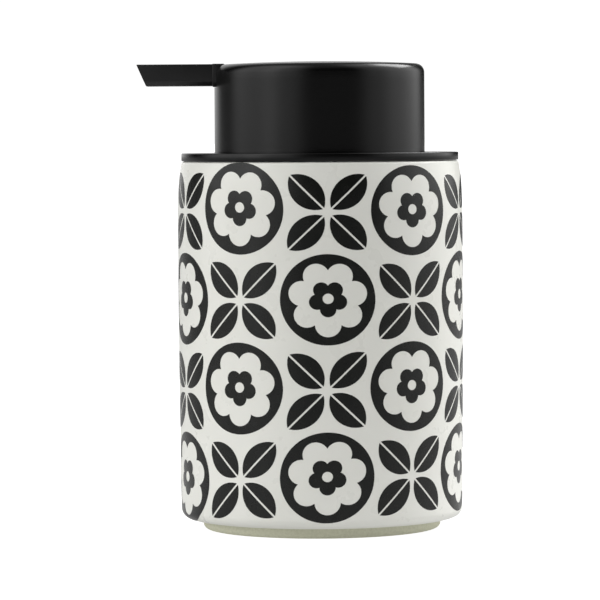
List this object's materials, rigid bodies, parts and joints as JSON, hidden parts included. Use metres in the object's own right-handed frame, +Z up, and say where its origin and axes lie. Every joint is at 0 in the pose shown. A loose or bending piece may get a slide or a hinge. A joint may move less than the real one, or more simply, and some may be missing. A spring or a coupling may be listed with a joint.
{
  "type": "soap pump dispenser",
  "caption": "Cylindrical ceramic liquid soap dispenser with a black print, a thin lid disc and a wide press-down pump head with a flat side spout.",
  "frame": {"origin": "centre of the bottle's flat foot, on the surface it stands on", "axes": "+Z up along the pump's axis, the spout points to -X, +Y away from the viewer when the spout points left"},
  "size_m": [0.0912, 0.08, 0.1312],
  "materials": {
    "printed_glaze": "white satin glaze with a black print",
    "black_satin": "black satin powder coat",
    "grey_plastic": "moulded dark plastic",
    "milky_plastic": "natural translucent plastic",
    "piston_plastic": "soft white sealing plastic",
    "silicone": "translucent grey silicone",
    "steel": "plain stainless steel"
  },
  "bodies": {
    "bottle_body": {"bottle": "printed_glaze"},
    "lid_body": {"lid_plate": "black_satin", "lid_well": "grey_plastic", "lid_seal": "silicone", "cylinder_gasket": "silicone", "pump_cylinder": "milky_plastic", "lock_nut": "milky_plastic", "cylinder_cap": "milky_plastic", "ball_cage": "milky_plastic", "return_spring": "steel", "dip_tube": "milky_plastic"},
    "inlet_ball_body": {"inlet_ball": "steel"},
    "plunger_body": {"piston": "piston_plastic", "piston_plug": "milky_plastic"},
    "head_body": {"head_cap": "black_satin", "head_core": "grey_plastic", "spout": "black_satin", "spout_tube": "milky_plastic", "stem": "milky_plastic", "outlet_cage": "milky_plastic"},
    "outlet_ball_body": {"outlet_ball": "steel"}
  },
  "joints": [
    {"name": "lid_lift", "type": "slide", "parent": "bottle_body", "child": "lid_body", "axis": [0, 0, 1], "range_m": [0, 0.11]},
    {"name": "pump_press", "type": "slide", "parent": "lid_body", "child": "plunger_body", "axis": [0, 0, -1], "range_m": [0, 0.012], "stiffness_N_per_m": 500, "springref_m": -0.008, "deforming": ["return_spring"]},
    {"name": "head_swivel", "type": "hinge", "parent": "plunger_body", "child": "head_body", "pos_m": [0, 0, 0.1], "axis": [0, 0, 1], "continuous": true},
    {"name": "inlet_ball_lift", "type": "slide", "parent": "lid_body", "child": "inlet_ball_body", "axis": [0, 0, 1], "range_m": [0, 0.002]},
    {"name": "outlet_ball_lift", "type": "slide", "parent": "head_body", "child": "outlet_ball_body", "axis": [0, 0, 1], "range_m": [0, 0.0015]}
  ]
}
